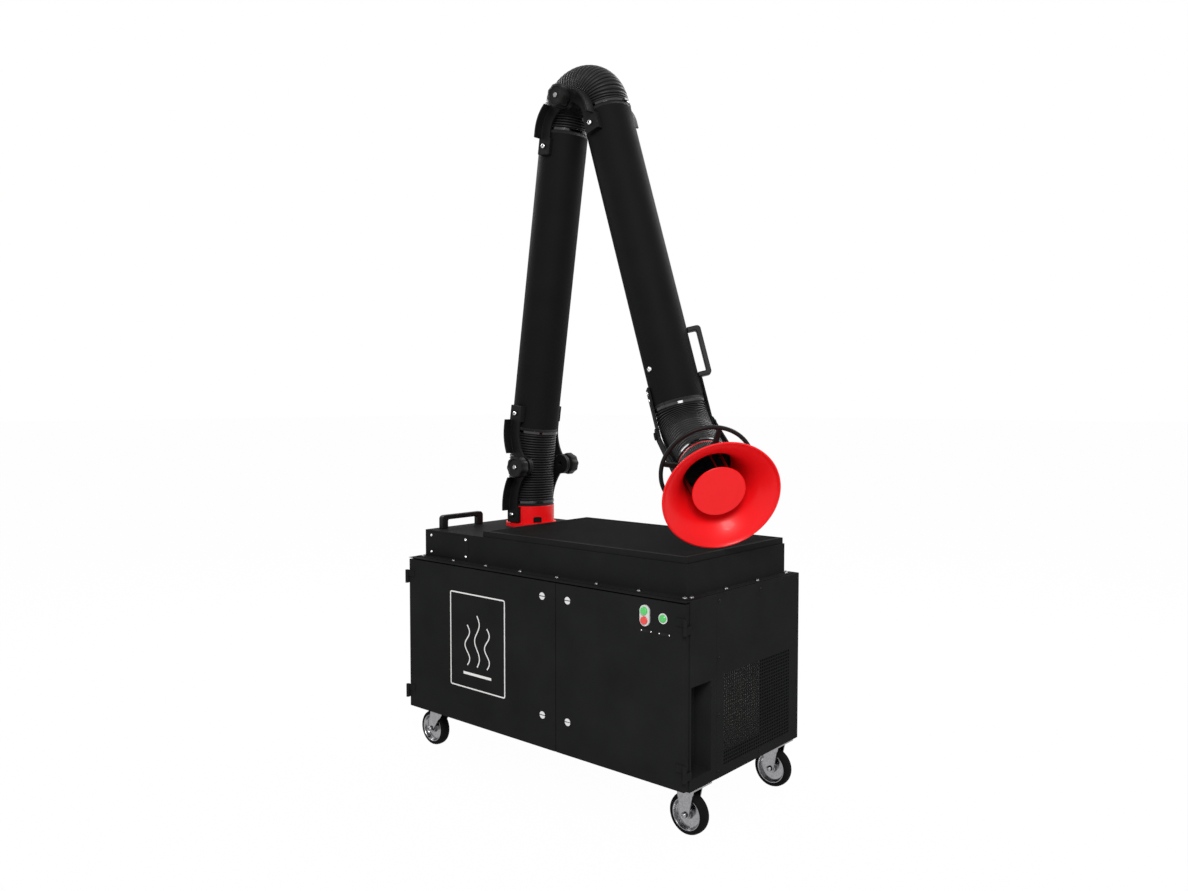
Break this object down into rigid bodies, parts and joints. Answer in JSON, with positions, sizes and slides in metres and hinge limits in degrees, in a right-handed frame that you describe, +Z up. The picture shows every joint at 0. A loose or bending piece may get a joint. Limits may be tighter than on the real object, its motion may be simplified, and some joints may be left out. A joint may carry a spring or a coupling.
{
  "type": "mobile fume extractor",
  "caption": "Mobile fume extractor: a black two-door filter cabinet on castors with a jointed extraction arm of steel tubes and ribbed hoses, ending in a red trumpet hood.",
  "frame": {"origin": "on the floor, under the centre of the cabinet's plan", "axes": "+Z up, -Y towards the doors, +X towards the grille end"},
  "size_m": [1.2994, 0.612, 2.2848],
  "materials": {
    "black_coat": "satin",
    "red_coat": "satin",
    "bright_steel": "satin",
    "tyre": "matte",
    "hose": "matte",
    "mat": "matte",
    "black_plastic": "matte",
    "filter_media": "matte",
    "motor": "satin",
    "bezel": "satin",
    "green_button": "gloss",
    "red_button": "gloss"
  },
  "bodies": {
    "cabinet": {"base_pan": "black_coat", "left_panel": "black_coat", "back_panel": "black_coat", "corner_post": "black_coat", "grille_panel": "black_coat", "top_deck": "black_coat", "plenum_cover": "black_coat", "tool_tray": "black_coat", "tray_mat": "mat", "push_handle": "black_plastic", "cover_screws": "bright_steel", "partition": "black_coat", "main_filter": "filter_media", "exhaust_filter": "filter_media", "fan_scroll": "black_coat", "fan_motor": "motor", "hinge_leaves": "bright_steel", "castor_mounts": "bright_steel", "arm_flange": "red_coat"},
    "left_door": {"left_door": "black_coat"},
    "right_door": {"right_door": "black_coat", "button_bezel": "bezel", "pilot_lamp": "green_button"},
    "left_lock_lower": {"left_lock_lower": "bright_steel"},
    "left_lock_upper": {"left_lock_upper": "bright_steel"},
    "right_lock_lower": {"right_lock_lower": "bright_steel"},
    "right_lock_upper": {"right_lock_upper": "bright_steel"},
    "start_button": {"start_button": "green_button"},
    "stop_button": {"stop_button": "red_button"},
    "fork_front": {"swivel_fork_front": "bright_steel"},
    "fork_back": {"swivel_fork_back": "bright_steel"},
    "impeller": {"impeller": "bright_steel"},
    "collar": {"swivel_collar": "red_coat", "collar_links": "black_coat", "collar_fittings": "bright_steel", "shoulder_hose": "hose"},
    "lower_arm": {"lower_tube": "black_coat", "lower_tube_links": "black_coat", "lower_tube_fittings": "bright_steel", "friction_knobs": "black_plastic", "elbow_hose": "hose"},
    "upper_arm": {"upper_tube": "black_coat", "upper_tube_links": "black_coat", "upper_tube_fittings": "bright_steel", "arm_handle": "black_plastic", "hood_ears": "black_coat", "hood_hose": "hose"},
    "hood": {"hood": "red_coat", "hood_yoke": "black_coat", "hood_clamp": "bright_steel", "hood_baffle": "red_coat", "hand_ring": "black_plastic"},
    "wheel_front_left": {"rim_front_left": "bright_steel", "tyre_front_left": "tyre"},
    "wheel_back_left": {"rim_back_left": "bright_steel", "tyre_back_left": "tyre"},
    "wheel_front_right": {"rim_front_right": "bright_steel", "tyre_front_right": "tyre"},
    "wheel_back_right": {"rim_back_right": "bright_steel", "tyre_back_right": "tyre"}
  },
  "joints": [
    {"name": "arm_swivel", "type": "hinge", "parent": "cabinet", "child": "collar", "pos_m": [-0.365, 0.077, 0.762], "axis": [0, 0, 1], "continuous": true},
    {"name": "shoulder", "type": "hinge", "parent": "collar", "child": "lower_arm", "pos_m": [-0.303, 0.077, 0.96], "axis": [0, 1, 0], "range_deg": [-35, 0], "deforming": ["shoulder_hose"]},
    {"name": "elbow", "type": "hinge", "parent": "lower_arm", "child": "upper_arm", "pos_m": [-0.11163, 0.077, 2.16095], "axis": [0, -1, 0], "range_deg": [0, 110], "deforming": ["elbow_hose"]},
    {"name": "hood_tilt", "type": "hinge", "parent": "upper_arm", "child": "hood", "pos_m": [0.30215, 0.077, 1.09477], "axis": [-0.6839, -0.6978, -0.213], "range_deg": [0, 60], "deforming": ["hood_hose"]},
    {"name": "left_door_hinge", "type": "hinge", "parent": "cabinet", "child": "left_door", "pos_m": [-0.578, -0.306, 0.4], "axis": [0, 0, 1], "range_deg": [-110, 0]},
    {"name": "right_door_hinge", "type": "hinge", "parent": "cabinet", "child": "right_door", "pos_m": [0.578, -0.306, 0.4], "axis": [0, 0, 1], "range_deg": [0, 110]},
    {"name": "left_lock_lower_turn", "type": "hinge", "parent": "left_door", "child": "left_lock_lower", "pos_m": [0.056, -0.3, 0.247], "axis": [0, 1, 0], "range_deg": [0, 90]},
    {"name": "left_lock_upper_turn", "type": "hinge", "parent": "left_door", "child": "left_lock_upper", "pos_m": [0.056, -0.3, 0.605], "axis": [0, -1, 0], "range_deg": [0, 90]},
    {"name": "right_lock_lower_turn", "type": "hinge", "parent": "right_door", "child": "right_lock_lower", "pos_m": [0.158, -0.3, 0.247], "axis": [0, -1, 0], "range_deg": [0, 90]},
    {"name": "right_lock_upper_turn", "type": "hinge", "parent": "right_door", "child": "right_lock_upper", "pos_m": [0.158, -0.3, 0.605], "axis": [0, 1, 0], "range_deg": [0, 90]},
    {"name": "start_press", "type": "slide", "parent": "right_door", "child": "start_button", "axis": [0, 1, 0], "range_m": [0, 0.003], "stiffness_N_per_m": 800},
    {"name": "stop_press", "type": "slide", "parent": "right_door", "child": "stop_button", "axis": [0, 1, 0], "range_m": [0, 0.003], "stiffness_N_per_m": 800},
    {"name": "front_castor_swivel", "type": "hinge", "parent": "cabinet", "child": "fork_front", "pos_m": [-0.505, -0.222, 0.126], "axis": [0, 0, 1], "continuous": true},
    {"name": "back_castor_swivel", "type": "hinge", "parent": "cabinet", "child": "fork_back", "pos_m": [-0.505, 0.222, 0.126], "axis": [0, 0, 1], "continuous": true},
    {"name": "front_left_wheel_spin", "type": "hinge", "parent": "fork_front", "child": "wheel_front_left", "pos_m": [-0.535, -0.222, 0.059], "axis": [0, 1, 0], "continuous": true},
    {"name": "back_left_wheel_spin", "type": "hinge", "parent": "fork_back", "child": "wheel_back_left", "pos_m": [-0.535, 0.222, 0.059], "axis": [0, 1, 0], "continuous": true},
    {"name": "front_right_wheel_spin", "type": "hinge", "parent": "cabinet", "child": "wheel_front_right", "pos_m": [0.535, -0.222, 0.059], "axis": [0, 1, 0], "continuous": true},
    {"name": "back_right_wheel_spin", "type": "hinge", "parent": "cabinet", "child": "wheel_back_right", "pos_m": [0.535, 0.222, 0.059], "axis": [0, 1, 0], "continuous": true},
    {"name": "impeller_spin", "type": "hinge", "parent": "cabinet", "child": "impeller", "pos_m": [0.19, 0.02, 0.42], "axis": [1, 0, 0], "continuous": true}
  ]
}
